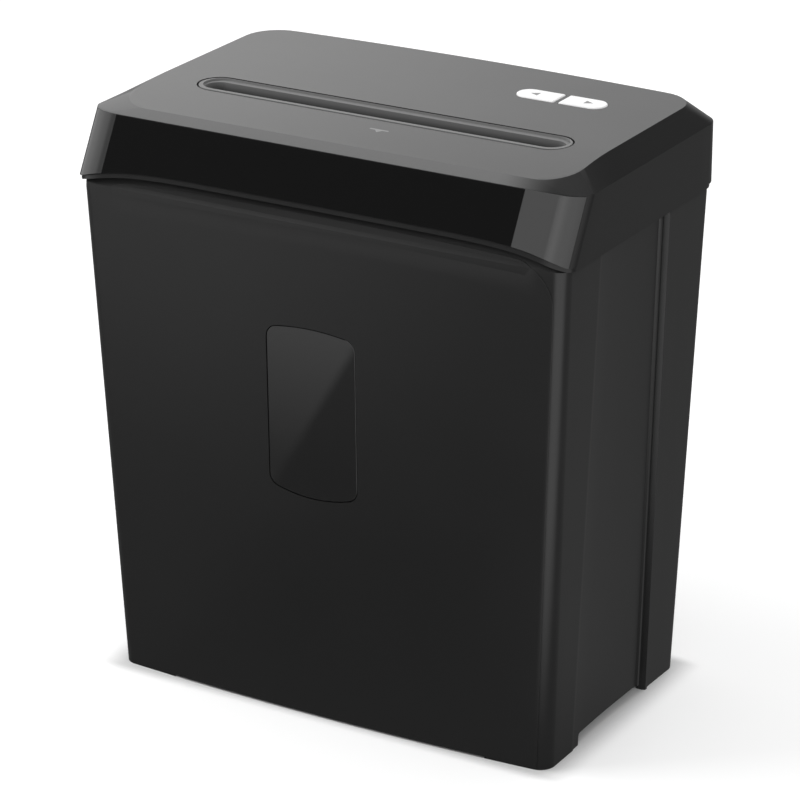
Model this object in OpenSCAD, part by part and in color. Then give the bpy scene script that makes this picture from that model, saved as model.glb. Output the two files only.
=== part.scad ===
// Cross-cut paper shredder: a lift-off cutting head that stands on a tapered waste bin.
// Origin at the centre of the footprint, +Z up, front at -Y, millimetres.

/* [Head] */
// Width over the head
head_w = 322; // [316:1:330]
// Depth over the head
head_d = 191; // [188:1:196]
// Height of the flat deck above the floor
deck_h = 354.5; // [350:0.5:360]
// Height of the lower edge of the head at its corners
lip_h = 307; // [305:0.5:309]
// Height of the edge where the side walls meet the shoulders
band_h = 345.5; // [343:0.5:347]
// How far the front leans back between its lower and upper edges
front_lean = 20; // [16:0.5:22]
// How far the lower edge rises in the middle of the front
front_arch = 9; // [5:0.5:11]
// Width of the sloping side shoulders
shoulder_w = 15; // [10:0.5:18]
// How far the deck rolls down at its front edge
deck_roll = 5.5; // [3:0.25:6]
// Corner radius of the deck
deck_r = 38; // [25:1:42]
// How far the rear wall bows out in the middle
rear_bow = 4; // [2:0.5:5]
// Wall of the mouldings
wall = 2.5; // [2:0.1:2.8]

/* [Bin] */
// Width of the bin at the floor
bin_foot_w = 291; // [285:1:296]
// Width of the bin under the head
bin_top_w = 315; // [312:1:316]
// Height of the shoulder where the bin rolls in under the head
bin_h = 303; // [300:0.5:304]
// Height of the bin rim that carries the head
rim_h = 318; // [316:0.5:320]
// How far the bin's front bows out at the floor
bin_bow = 5; // [3:0.5:6]
// Height of the cut-outs between the feet
foot_h = 7.5; // [5:0.5:10]
// Width of the grip groove down each side
groove_w = 10; // [8:0.5:12]
// Depth of the grip groove
groove_d = 2; // [1:0.25:2.5]

/* [Window] */
// Width of the window
window_w = 59; // [50:1:66]
// Height of the middle of the window above the floor
window_z = 196; // [180:1:210]
// Height of the window's straight sides
window_side = 88; // [76:1:94]
// Rise of the arched upper edge
window_top_arch = 5; // [3:0.5:7]
// Drop of the arched lower edge
window_low_arch = 9; // [6:0.5:11]

/* [Feed slot] */
// Clear width of the paper throat
throat_w = 222; // [218:1:224]
// Clear gap of the paper throat
throat_gap = 5; // [4.5:0.5:6]
// Place of the slot from front to back
slot_y = -20.4; // [-23:0.2:-18]
// Width of the stadium-shaped slot rim
rim_w = 24; // [22:0.5:26]

/* [Buttons] */
// Length of the button pair
button_l = 58; // [54:0.5:62]
// Width of the buttons
button_w = 16; // [14:0.5:18]
// Travel of each button
button_travel = 1; // [0.6:0.1:1.2]
// Middle of the button pair, to the right
button_x = 79; // [74:1:82]
// Middle of the button pair, from front to back
button_y = 49.5; // [46:0.5:52]

/* [Cutters] */
// Radius over the cutter discs
disc_r = 17; // [16.5:0.1:17.2]
// Thickness of a cutter disc
disc_t = 3.6; // [3.2:0.1:3.7]
// Distance from one disc to the next on a roll
disc_pitch = 8; // [7.8:0.1:8]
// Discs on the front roll
disc_count = 28; // [24:1:28]
// Distance between the cutter shafts
shaft_gap = 30; // [29.6:0.1:30.6]
// Height of the cutter shafts
shaft_z = 296; // [294:0.5:298]
// Radius of the cutter shafts' journals
journal_r = 5; // [4.5:0.1:5.5]

/* [Drive] */
// Teeth of the drive gear on the rear cutter shaft
drive_teeth = 36; // [34:1:36]
// Module of the drive gear
drive_m = 1.5; // [1.4:0.05:1.5]
// Teeth of the large wheel of the second reduction
second_teeth = 42; // [40:1:42]
// Teeth of the large wheel of the first reduction
first_teeth = 50; // [48:1:52]
// Teeth of the motor pinion
pinion_teeth = 10; // [10:1:11]
// Radius of the motor
motor_r = 21.5; // [20:0.5:21.5]
// Length of the motor can
motor_l = 70; // [60:1:75]

/* [Hidden] */
$fn = 48;
eps = 0.01;
seat = 0.1;
run_fit = 0.05;

// ---- outlines ----
front_y = -head_d / 2;
rear_y = head_d / 2;
rear_end_y = rear_y - rear_bow;
band_front_y = front_y + front_lean;
chamfer_d = 2.5;
deck_front_y = band_front_y + chamfer_d;
deck_side = head_w / 2 - shoulder_w;
roll_start = slot_y;
band_r = 9;
rear_r = 18;
lip_strip = 2.7;
lip_inset = 0.8;

// Height of the deck at a place from front to back
function deck_z(y) = y >= roll_start ? deck_h
    : deck_h - deck_roll * pow((roll_start - y) / (roll_start - deck_front_y), 2);

// Points on a quarter arc
function arc(cx, cy, r, a0, a1, n) = [for (i = [0:n]) let (a = a0 + (a1 - a0) * i / n)
    [cx + r * cos(a), cy + r * sin(a)]];

// Bowed edge from x0 to x1 at y, bowing by b, left out at its ends
function bowed(x0, x1, y, b, n) = [for (i = [1:n - 1]) let (x = x0 + (x1 - x0) * i / n, h = abs(x0))
    [x, y + b * (1 - pow(x / h, 2))]];

// Plan outline with half width w, corner radii and bowed front and rear edges
function plan(w, yf, yr, rf, rr, bf, br) = concat(
    arc(-w + rf, yf + rf, rf, 180, 270, 6),
    bowed(-w + rf, w - rf, yf, -bf, 8),
    arc(w - rf, yf + rf, rf, 270, 360, 6),
    [for (i = [1:5]) [w, yf + rf + (yr - rr - yf - rf) * i / 6]],
    arc(w - rr, yr - rr, rr, 0, 90, 6),
    bowed(w - rr, -w + rr, yr, br, 8),
    arc(-w + rr, yr - rr, rr, 90, 180, 6),
    [for (i = [1:5]) [-w, yr - rr - (yr - rr - yf - rf) * i / 6]]);

module slab(points, z, t) {
    translate([0, 0, z]) linear_extrude(t) polygon(points);
}

// ---- bin form ----
bin_front_foot = front_y + 14;
bin_front_top = front_y + 3.5;
bin_rear_foot = rear_end_y - 8;
bin_rear_top = rear_end_y - 4;
rim_front = front_y + 10.5;
rim_rear = rear_end_y - 5.5;
rim_w_half = head_w / 2 - 7.5;
bin_r_foot = 8;
bin_r_top = 11;

module bin_form(t, z0) {
    k = z0 / bin_h;
    foot_w = bin_foot_w / 2 + (bin_top_w - bin_foot_w) / 2 * k;
    front = bin_front_foot + (bin_front_top - bin_front_foot) * k;
    rear = bin_rear_foot + (bin_rear_top - bin_rear_foot) * k;
    hull() {
        slab(plan(foot_w - t, front + t, rear - t, bin_r_foot, bin_r_foot, bin_bow, rear_bow), z0, eps);
        slab(plan(bin_top_w / 2 - t, bin_front_top + t, bin_rear_top - t,
            bin_r_top, bin_r_top, 1, rear_bow), bin_h - eps, eps);
        slab(plan(rim_w_half - t, rim_front + t, rim_rear - t, bin_r_top, bin_r_top, 0, rear_bow),
            rim_h - eps, eps);
    }
}

// Half width of the bin at a height
function bin_side(z) = bin_foot_w / 2 + (bin_top_w - bin_foot_w) / 2 * z / bin_h;

// ---- window outline, in X and Z ----
window_r = 8;
function arched(x0, x1, z, b, n) = [for (i = [0:n]) let (x = x0 + (x1 - x0) * i / n)
    [x, z + b * (1 - pow(x / x0, 2))]];
function window_points(g) = concat(
    arched(-window_w / 2 + window_r, window_w / 2 - window_r,
        -window_side / 2 - 3 - g, -window_low_arch + 3, 8),
    arc(window_w / 2 - window_r, -window_side / 2 + window_r - 3, window_r + g, -80, 0, 5),
    arc(window_w / 2 - window_r, window_side / 2 - window_r + 2, window_r + g, 0, 80, 5),
    arched(window_w / 2 - window_r, -window_w / 2 + window_r,
        window_side / 2 + 2 + g, window_top_arch - 2, 8),
    arc(-window_w / 2 + window_r, window_side / 2 - window_r + 2, window_r + g, 100, 180, 5),
    arc(-window_w / 2 + window_r, -window_side / 2 + window_r - 3, window_r + g, 180, 260, 5));
module window_prism(g, y0, y1) {
    translate([0, y1, window_z]) rotate([90, 0, 0]) linear_extrude(y1 - y0) polygon(window_points(g));
}
// Slope of the bin's front face, and its place at the window's middle
front_slope = atan((bin_front_foot - bin_bow - bin_front_top + 1) / bin_h);
window_face_y = bin_front_foot - bin_bow + (bin_front_top - 1 - bin_front_foot + bin_bow) * window_z / bin_h;
module on_front() {
    translate([0, window_face_y, window_z]) rotate([front_slope, 0, 0]) translate([0, 0, -window_z])
        children();
}
window_flange = 5;
window_t = 2;
seal_t = 1;

// ---- mechanism layout, in Y and Z ----
rear_shaft = [slot_y + shaft_gap / 2, shaft_z];
front_shaft = [slot_y - shaft_gap / 2, shaft_z];
second_m = 1;
first_m = 0.8;
small_teeth = 12;
drive_a = (drive_teeth + small_teeth) * drive_m / 2;
second_a = (second_teeth + small_teeth) * second_m / 2;
first_a = (first_teeth + pinion_teeth) * first_m / 2;
second_angle = 18;
second_axis = rear_shaft + drive_a * [cos(second_angle), sin(second_angle)];
motor_axis = [rear_shaft[0] + 57.4, shaft_z + 1];
motor_span = motor_axis - second_axis;
motor_dist = norm(motor_span);
first_along = (second_a * second_a - first_a * first_a + motor_dist * motor_dist) / (2 * motor_dist);
first_up = sqrt(second_a * second_a - first_along * first_along);
span_dir = motor_span / motor_dist;
first_axis = second_axis + first_along * span_dir + first_up * [-span_dir[1], span_dir[0]];

// Places along X
plate_in = (disc_count / 2) * disc_pitch + 1.5;
plate_t = 3;
plate_out = plate_in + plate_t;
gear_gap = 1.2;
bush_flange = 1.2;
drive_x = plate_out + bush_flange + 0.5;
drive_w = 7.5;
second_x = drive_x + drive_w + gear_gap;
second_w = 6.5;
first_x = second_x + second_w + gear_gap;
first_w = 6;
clip_t = 0.8;
sync_w = 8;
sync_m = 2;
sync_teeth = round(shaft_gap / sync_m);
motor_x1 = plate_in;
motor_x0 = motor_x1 - motor_l;

// Tub of the head base
tub_w = 147;
tub_front = -78;
tub_rear = 79;
tub_z = 262;
tub_floor = tub_z + wall;
flange_z = rim_h;
flange_t = 3;
chute_front = front_shaft[0] - disc_r - 4;
chute_rear = rear_shaft[0] + disc_r + 4;

// ---- helpers ----
module along_x(x, at) { translate([x, at[0], at[1]]) rotate([90, 0, 90]) children(); }
module rod(x0, x1, at, r) { along_x(x0, at) cylinder(r = r, h = x1 - x0); }
module stadium(l, w) {
    square([l - w, w], center = true);
    for (s = [-1, 1]) translate([s * (l - w) / 2, 0]) circle(d = w);
}
module bore_z(x, y, z0, z1, r) { translate([x, y, z0]) cylinder(r = r, h = z1 - z0); }

// Involute gear outline, n teeth of module m, with a tooth centred on angle a0
pressure = 20;
backlash = 0.16;
function inv(a) = tan(a) * 180 / PI - a;
function flank(r, rp, rb, half) = let (a = acos(min(1, rb / r))) half + inv(pressure) - inv(a);
module gear_2d(n, m, a0) {
    rp = n * m / 2;
    rb = rp * cos(pressure);
    ra = rp + 0.8 * m;
    rr = rp - 1.25 * m;
    r0 = max(rb, rr + 0.05);
    half = 90 / n - backlash / rp * 90 / PI;
    rs = [for (i = [0:3]) r0 + (ra - r0) * i / 3];
    polygon([for (k = [0:n - 1], p = concat(
        [[rr, -flank(r0, rp, rb, half) - 1 * 6 / n]],
        [for (i = [0:3]) [rs[i], -flank(rs[i], rp, rb, half)]],
        [for (i = [3:-1:0]) [rs[i], flank(rs[i], rp, rb, half)]],
        [[rr, flank(r0, rp, rb, half) + 1 * 6 / n]]))
        let (a = a0 + k * 360 / n + p[1]) p[0] * [cos(a), sin(a)]]);
}
module gear(n, m, a0, x, w, at) {
    along_x(x, at) linear_extrude(w) gear_2d(n, m, a0);
}
// Direction from one axis to another, and the phase that puts a gap there
function bearing(p, q) = atan2(q[1] - p[1], q[0] - p[0]);

// Hooked disc of the cross-cut rolls
hooks = 6;
hook_depth = 2.2;
module disc_2d(a0) {
    polygon([for (k = [0:hooks - 1], p = [[0, 0], [6, hook_depth], [24, 0.9], [42, 0.25]])
        let (a = a0 + k * 360 / hooks + p[0], r = disc_r - p[1]) r * [cos(a), sin(a)]]);
}
core_r = 9;
hex_af = 11;
module cutter_roll(count, at, stagger) {
    half = disc_pitch * (count - 1) / 2;
    color("silver") difference() {
        union() {
            rod(-half - disc_t / 2, half + disc_t / 2, at, core_r);
            for (k = [0:count - 1])
                along_x(-half + k * disc_pitch - disc_t / 2, at)
                    linear_extrude(disc_t) disc_2d(k * stagger);
        }
        along_x(-half - 10, at) cylinder(d = (hex_af + 0.2) / cos(30), h = 2 * half + 20, $fn = 6);
    }
}
module cutter_shaft(count, at, x0, x1) {
    half = disc_pitch * (count - 1) / 2 + disc_t / 2;
    color("gray") {
        along_x(-half, at) cylinder(d = hex_af / cos(30), h = 2 * half, $fn = 6);
        rod(x0, -half, at, journal_r);
        rod(half, x1, at, journal_r);
    }
}

// ---- bin ----
bin_floor = 10;
skirt_front = -39;
skirt_rear = 28;
groove_y = 20;
boss_x = 100;
boss_y = 83.5;
module side_groove(depth, y, w) {
    for (s = [-1, 1])
        translate([s * bin_side(0), y, 0]) rotate([0, s * atan((bin_top_w - bin_foot_w) / 2 / bin_h), 0])
            translate([s > 0 ? -depth : -10, 0, -5]) cube([10 + depth, w, bin_h + 5]);
}
module bin_shell() {
    color([0.16, 0.16, 0.17]) difference() {
        union() {
            difference() {
                bin_form(0, 0);
                bin_form(wall, bin_floor);
                slab(plan(rim_w_half - wall, rim_front + wall, rim_rear - wall,
                    bin_r_top, bin_r_top, 0, rear_bow), rim_h - 1, 2);
            }
            intersection() {
                bin_form(0, 0);
                union() {
                    translate([0, 0, bin_floor])
                        side_groove(wall + groove_d, groove_y - wall, groove_w + 2 * wall);
                    translate([boss_x - 6, boss_y - 3, bin_h]) cube([12, 12, rim_h - bin_h]);
                }
            }
        }
        side_groove(groove_d, groove_y, groove_w);
        slab(plan(bin_foot_w / 2 - 2 * wall, bin_front_foot + 2 * wall, bin_rear_foot - 2 * wall,
            bin_r_foot, bin_r_foot, bin_bow, rear_bow), -1, bin_floor - wall + 1);
        translate([-head_w / 2, skirt_front, -1]) cube([head_w, skirt_rear - skirt_front, foot_h + 1]);
        translate([-110, front_y, -1]) cube([220, head_d, 2]);
        on_front() window_prism(0, -5, 5);
    }
}
module bin_window() {
    color([0.25, 0.25, 0.27, 0.6]) on_front() {
        window_prism(-0.2, 0.3, wall + seal_t + 0.5);
        window_prism(window_flange, wall + seal_t + 0.5, wall + seal_t + window_t);
    }
}
module window_seal() {
    color([0.08, 0.08, 0.08]) on_front() difference() {
        window_prism(window_flange - 1, wall + 0.4, wall + 0.4 + seal_t);
        window_prism(0.4, 0, wall + 2 * seal_t);
    }
}

// ---- head housing ----
module head_form(t) {
    deck = plan(deck_side - t / 2, deck_front_y + t, rear_end_y - t, deck_r, deck_r, 0, rear_bow);
    low = plan(head_w / 2 - t, front_y + t, rear_end_y - t, band_r, rear_r - t, 0, rear_bow);
    hull() {
        slab(low, t > 0 ? lip_h - 1 : lip_h + lip_strip, eps);
        slab(low, lip_h + lip_strip, eps);
        slab(plan(head_w / 2 - t, band_front_y + t, rear_end_y - t, band_r, rear_r - t, 0, rear_bow),
            band_h - t / 2, eps);
        for (q = deck) translate([q[0], q[1], deck_z(q[1]) - t]) cube([eps, eps, eps], center = true);
    }
}
fascia_x = head_w / 2 - band_r;
fascia_t = 1.4;
function arch_z(x) = lip_h + front_arch * (1 - pow(x / fascia_x, 2));
module fascia_zone(g) {
    n = 12;
    translate([0, front_y + 40, 0]) rotate([90, 0, 0]) linear_extrude(60) polygon(concat(
        [for (i = [0:n]) let (x = -fascia_x - g + 2 * (fascia_x + g) * i / n)
            [x, arch_z(min(fascia_x, abs(x))) + lip_strip - g]],
        [[fascia_x + g, band_h - 0.8 + g], [-fascia_x - g, band_h - 0.8 + g]]));
}
module front_arch_cut() {
    n = 16;
    translate([0, front_y + 30, 0]) rotate([90, 0, 0]) linear_extrude(60) polygon(concat(
        [for (i = [0:n]) let (x = -fascia_x + 2 * fascia_x * i / n) [x, arch_z(x)]],
        [[fascia_x, lip_h - 5], [-fascia_x, lip_h - 5]]));
}
rim_t = 1.2;
rim_sunk = 0.4;
rim_l = throat_w + 21;
neck_l = throat_w + 14;
neck_w = rim_w - 7;
button_gap = 2.8;
button_fit = 0.15;
button_proud = 0.8;
module button_2d(s, g, gap) {
    intersection() {
        stadium(button_l + 2 * g, button_w + 2 * g);
        translate([s > 0 ? gap / 2 - g : -100, -50]) square([100 - gap / 2 + g, 100]);
    }
}
gland_x = -110;
gland_z = 331;
gland_r = 5;
post_xy = [[-128, -68], [128, -68], [-128, 71.5], [128, 71.5]];
post_r = 4.5;
screw_r = 1.6;
flange_top = flange_z + flange_t;
// Tapered screw boss between two heights
module cover_boss(x, y, z0, z1) {
    hull() {
        bore_z(x, y, z0, z0 + 1, post_r - 0.4, $fn = 32);
        bore_z(x, y, z1 - 1, z1, post_r + 0.3, $fn = 32);
    }
}
// Bevel round the button opening
module button_bevel(s) {
    hull() for (k = [0, 1]) translate([button_x, button_y, deck_h - 0.4 + k * 0.5])
        linear_extrude(eps) button_2d(s, button_fit + k * 0.4, button_gap, $fn = 32);
}
module head_cover() {
    color([0.3, 0.3, 0.31]) difference() {
        union() {
            difference() {
                union() {
                    head_form(0);
                    slab(plan(head_w / 2 - lip_inset, front_y + lip_inset, rear_end_y - lip_inset,
                        band_r, rear_r, 0, rear_bow), lip_h, lip_strip + eps);
                }
                head_form(wall);
            }
            for (q = post_xy) cover_boss(q[0], q[1], flange_top, deck_z(q[1]) - wall + 0.5);
        }
        for (q = post_xy) bore_z(q[0], q[1], flange_top - 1, flange_top + 13, screw_r + 0.05);
        front_arch_cut();
        difference() {
            fascia_zone(seat);
            head_form(fascia_t);
        }
        translate([0, slot_y, deck_h - wall - 3]) linear_extrude(10)
            stadium(neck_l + 2 * seat, neck_w + 2 * seat);
        translate([0, slot_y, deck_h - rim_sunk - rim_t]) linear_extrude(10)
            stadium(rim_l + 2 * seat, rim_w + 2 * seat);
        for (s = [-1, 1]) translate([button_x, button_y, deck_h - wall - 1]) linear_extrude(10)
            button_2d(s, button_fit, button_gap);
        for (s = [-1, 1]) button_bevel(s);
        translate([gland_x, rear_y - 12, gland_z]) rotate([-90, 0, 0]) cylinder(r = gland_r, h = 20);
    }
}
module front_fascia() {
    color([0.07, 0.07, 0.07]) intersection() {
        difference() {
            head_form(0);
            head_form(fascia_t);
        }
        fascia_zone(0);
    }
}
module head_base() {
    color([0.2, 0.2, 0.2]) difference() {
        union() {
            difference() {
                union() {
                    slab(plan(tub_w, tub_front, tub_rear, 10, 10, 0, 0), tub_z, flange_z - tub_z + flange_t);
                    slab(plan(rim_w_half - 0.3, rim_front + 0.3, rim_rear - 0.3,
                        bin_r_top, bin_r_top, 0, rear_bow), flange_z, flange_t);
                }
                slab(plan(tub_w - wall, tub_front + wall, tub_rear - wall, 8, 8, 0, 0), tub_floor, 80);
            }
            for (q = post_xy) bore_z(q[0], q[1], tub_z, flange_top, post_r);
        }
        for (q = post_xy) {
            bore_z(q[0], q[1], tub_z - 1, flange_top + 1, screw_r + 0.1);
            bore_z(q[0], q[1], tub_z - 1, tub_z + 8, 2 * screw_r + 0.2);
        }
        translate([-plate_in + 1, chute_front, tub_z - 1])
            cube([2 * plate_in - 2, chute_rear - chute_front, 10]);
        bore_z(boss_x, boss_y, flange_z - 1, flange_top + 1, plunger_r + run_fit);
    }
}
module housing_screws() {
    color("silver") for (q = post_xy) {
        bore_z(q[0], q[1], tub_z + 5, tub_z + 8, 2 * screw_r);
        bore_z(q[0], q[1], tub_z + 8, flange_top + 11, screw_r);
    }
}
throat_low = shaft_z + disc_r + 4;
neck_low = 342;
throat_side = throat_gap / 2 + 3.5;
lever_axis = [slot_y + 11.4, 334];
module throat_insert() {
    color([0.17, 0.17, 0.18]) difference() {
        union() {
            translate([0, slot_y, deck_h - rim_sunk - rim_t]) linear_extrude(rim_t)
                stadium(rim_l, rim_w);
            translate([0, slot_y, neck_low]) linear_extrude(deck_h - rim_sunk - rim_t - neck_low)
                stadium(neck_l, neck_w);
            translate([-throat_w / 2 - 2, slot_y - throat_side, throat_low])
                cube([throat_w + 4, 2 * throat_side, neck_low - throat_low]);
            for (s = [-1, 1]) translate([s * 5 - 1, slot_y + throat_side - eps, lever_axis[1] - 4])
                cube([2, lever_axis[0] - slot_y - throat_side + 3, 8]);
        }
        hull() {
            translate([0, slot_y, deck_h]) linear_extrude(eps)
                stadium(throat_w + 12, rim_w - 10, $fn = 32);
            translate([-throat_w / 2, slot_y - throat_gap / 2, neck_low - 4])
                cube([throat_w, throat_gap, eps]);
        }
        translate([-throat_w / 2, slot_y - throat_gap / 2, throat_low - 1])
            cube([throat_w, throat_gap, neck_low - throat_low]);
        translate([-1.6, slot_y, throat_low - 1]) cube([3.2, throat_side + 1, lever_axis[1] + 4 - throat_low]);
        rod(-10, 10, lever_axis, lever_pin_r + run_fit);
    }
}
lever_pin_r = 1.5;
module feed_lever() {
    color("white") {
        rod(-6, 6, lever_axis, lever_pin_r);
        along_x(-3.6, lever_axis) difference() {
            cylinder(r = 2.8, h = 7.2);
            translate([0, 0, -1]) cylinder(r = lever_pin_r, h = 10);
        }
        along_x(-1, lever_axis) linear_extrude(2) difference() {
            polygon([[1, 2.6], [5, 1.4], [5, 0], [0, -2.7], [-8, -6], [-12.6, -9], [-13, -7.5], [-8, -3], [-2, 2]]);
            circle(r = 2.8);
        }
    }
}
module feed_switch() {
    color([0.1, 0.1, 0.1]) translate([-10, slot_y + neck_w / 2 + 0.3, 340]) cube([20, 6.4, 10.5]);
}

// ---- buttons and board ----
button_flange = 1.6;
flange_z1 = deck_h - wall - seat;
bracket_z = deck_h - 7.5;
bracket_t = 1.5;
board_t = 1.6;
board_z = bracket_z - 7;
board_top = board_z + board_t;
tact_h = 3;
stem_r = 2.5;
stem_x = button_l / 4 + 1;
tact_tip = 0.6;
stem_z = board_top + tact_h + tact_tip + button_travel + seat;
module push_button(s) {
    color("white") translate([button_x, button_y, 0]) {
        translate([0, 0, flange_z1 - eps]) linear_extrude(deck_h + button_proud - flange_z1 + eps)
            button_2d(s, 0, button_gap + 2 * button_fit);
        translate([0, 0, flange_z1 - button_flange]) linear_extrude(button_flange)
            button_2d(s, 1.3, button_gap + 1);
        translate([s * stem_x, 0, stem_z]) cylinder(r = stem_r, h = flange_z1 - button_flange - stem_z + eps);
    }
}
module reverse_button() { push_button(-1); }
module forward_button() { push_button(1); }
leg_x = button_l / 2 + 2;
leg_y = button_w / 2 + 2.5;
module button_bracket() {
    color([0.85, 0.85, 0.8]) translate([button_x, button_y, 0]) difference() {
        union() {
            translate([-leg_x - 2.5, -leg_y - 2.5, bracket_z]) cube([2 * leg_x + 5, 2 * leg_y + 5, bracket_t]);
            for (sx = [-1, 1], sy = [-1, 1]) {
                bore_z(sx * leg_x, sy * leg_y, bracket_z, deck_h - wall, 2.2);
                bore_z(sx * (leg_x - 4), sy * leg_y, board_top, bracket_z + eps, 2.2);
            }
        }
        for (s = [-1, 1]) bore_z(s * stem_x, 0, bracket_z - 1, bracket_z + 3, stem_r + run_fit);
    }
}
module circuit_board() {
    color([0.1, 0.35, 0.15])
        translate([button_x - leg_x - 2.5, button_y - leg_y - 2.5, board_z])
            cube([2 * leg_x + 5, 2 * leg_y + 5, board_t]);
}
module tact_switches() {
    color([0.12, 0.12, 0.12]) for (s = [-1, 1]) {
        translate([button_x + s * stem_x - 3, button_y - 3, board_top]) cube([6, 6, tact_h]);
        bore_z(button_x + s * stem_x, button_y, board_top + tact_h - eps, board_top + tact_h + tact_tip, 1.6);
    }
}
module board_components() {
    color([0.2, 0.25, 0.5]) {
        for (k = [0:1]) translate([button_x - 26 + k * 20, button_y - 7, board_z - 13]) cube([16, 12, 13]);
        for (k = [0:2]) bore_z(button_x + 18, button_y - 8 + k * 8, board_z - 10, board_z, 3.2);
        translate([button_x + 23, button_y - 6, board_z - 6]) cube([5, 12, 6]);
    }
}
module terminal_block() {
    color("white") difference() {
        translate([-100, 60, tub_floor]) cube([24, 12, 11]);
        for (k = [0:2]) bore_z(-96 + k * 8, 66, tub_floor + 5, tub_floor + 12, 2);
    }
}

// ---- frame ----
rods = [[front_shaft[0] - 23, shaft_z - 14], [front_shaft[0] - 23, shaft_z + 18],
    [rear_shaft[0] + 31, shaft_z - 24], [rear_shaft[0] + 25, shaft_z + 26]];
rod_r = 3;
bush_r = 7;
plate_top = 331;
module plate_2d(y1) {
    polygon([[-66, tub_floor], [y1, tub_floor], [y1, plate_top - 12], [y1 - 12, plate_top],
        [front_shaft[0] - 18, plate_top], [-66, plate_top - 14]]);
}
module plate_bores(x) {
    for (a = [rear_shaft, front_shaft]) rod(x - 1, x + plate_t + 1, a, bush_r);
    for (a = rods) rod(x - 1, x + plate_t + 1, a, screw_r);
}
motor_boss_r = 7;
motor_screws = [for (s = [-1, 1]) motor_axis + 14 * [s, 0]];
module left_frame_plate() {
    color("lightgray") difference() {
        along_x(-plate_out, [0, 0]) linear_extrude(plate_t) plate_2d(34);
        plate_bores(-plate_out);
    }
}
module right_frame_plate() {
    color("lightgray") difference() {
        along_x(plate_in, [0, 0]) linear_extrude(plate_t) plate_2d(76);
        plate_bores(plate_in);
        rod(plate_in - 1, plate_out + 1, motor_axis, motor_boss_r + seat);
        for (a = motor_screws) rod(plate_in - 1, plate_out + 1, a, screw_r);
        for (a = [first_axis, second_axis]) rod(plate_in - 1, plate_out + 1, a, post_pin_r);
    }
}
module tie_rods() {
    color("silver") for (a = rods) difference() {
        rod(-plate_in, plate_in, a, rod_r);
        for (s = [-1, 1]) rod(s * (plate_in - 4) - 5, s * (plate_in - 4) + 5, a, screw_r);
    }
}
module plate_screws() {
    color("gray") {
        for (a = rods, s = [-1, 1]) {
            rod(s > 0 ? plate_out : -plate_out - 1, s > 0 ? plate_out + 1 : -plate_out, a, rod_r);
            rod(s > 0 ? plate_out - 9 : -plate_out - eps, s > 0 ? plate_out + eps : -plate_out + 9,
                a, screw_r - run_fit);
        }
        for (a = motor_screws) {
            rod(plate_out, plate_out + 1, a, rod_r);
            rod(plate_out - 4.5, plate_out + eps, a, screw_r - run_fit);
        }
    }
}
module shaft_bushes() {
    color("goldenrod") for (a = [rear_shaft, front_shaft], s = [-1, 1]) difference() {
        union() {
            rod(s > 0 ? plate_in : -plate_out, s > 0 ? plate_out : -plate_in, a, bush_r - run_fit);
            rod(s > 0 ? plate_out : -plate_out - bush_flange, s > 0 ? plate_out + bush_flange : -plate_out,
                a, bush_r + 2);
        }
        rod(-plate_out - 5, plate_out + 5, a, journal_r + run_fit);
    }
}
finger_t = 2.4;
comb_t = 2;
comb_gap = 0.5;
module comb(at, dir, count) {
    half = disc_pitch * (count - 1) / 2;
    y0 = at[0] + dir * (disc_r + comb_gap);
    y1 = y0 + dir * comb_t;
    color("dimgray") difference() {
        union() {
            translate([-plate_in, min(y0, y1), shaft_z - 15]) cube([2 * plate_in, comb_t, 32]);
            for (k = [0:count - 2]) translate([-half + (k + 0.5) * disc_pitch - finger_t / 2,
                min(at[0], y0 + dir * eps), shaft_z - 6]) cube([finger_t, abs(y0 - at[0]) + eps, 12]);
        }
        rod(-plate_in - 1, plate_in + 1, at, core_r + 0.6);
    }
}
module front_comb() { comb(front_shaft, -1, disc_count); }
module rear_comb() { comb(rear_shaft, 1, disc_count - 1); }

// ---- cutter rolls ----
module rear_cutter_shaft() {
    cutter_shaft(disc_count - 1, rear_shaft, -plate_out - bush_flange - 0.5 - sync_w, drive_x + drive_w + 0.6);
}
module rear_cutter_discs() { cutter_roll(disc_count - 1, rear_shaft, 13); }
module front_cutter_shaft() {
    cutter_shaft(disc_count, front_shaft, -plate_out - bush_flange - 0.5 - sync_w, plate_out + bush_flange);
}
module front_cutter_discs() { cutter_roll(disc_count, front_shaft, -13); }
sync_x = -plate_out - bush_flange - 0.5 - sync_w;
module drive_gear() {
    a = bearing(rear_shaft, second_axis);
    color("gray") difference() {
        gear(drive_teeth, drive_m, a, drive_x, drive_w, rear_shaft);
        rod(drive_x - 1, drive_x + drive_w + 1, rear_shaft, journal_r + run_fit / 2);
        for (k = [0:4]) along_x(drive_x - 1, rear_shaft) rotate(36 + k * 72) translate([16, 0])
            cylinder(r = 4.5, h = drive_w + 2);
    }
}
module sync_gear(at, a0) {
    color("gray") difference() {
        gear(sync_teeth, sync_m, a0, sync_x, sync_w, at);
        rod(sync_x - 1, sync_x + sync_w + 1, at, journal_r + run_fit / 2);
    }
}
module rear_sync_gear() { sync_gear(rear_shaft, 180); }
module front_sync_gear() { sync_gear(front_shaft, 180 / sync_teeth); }

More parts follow.
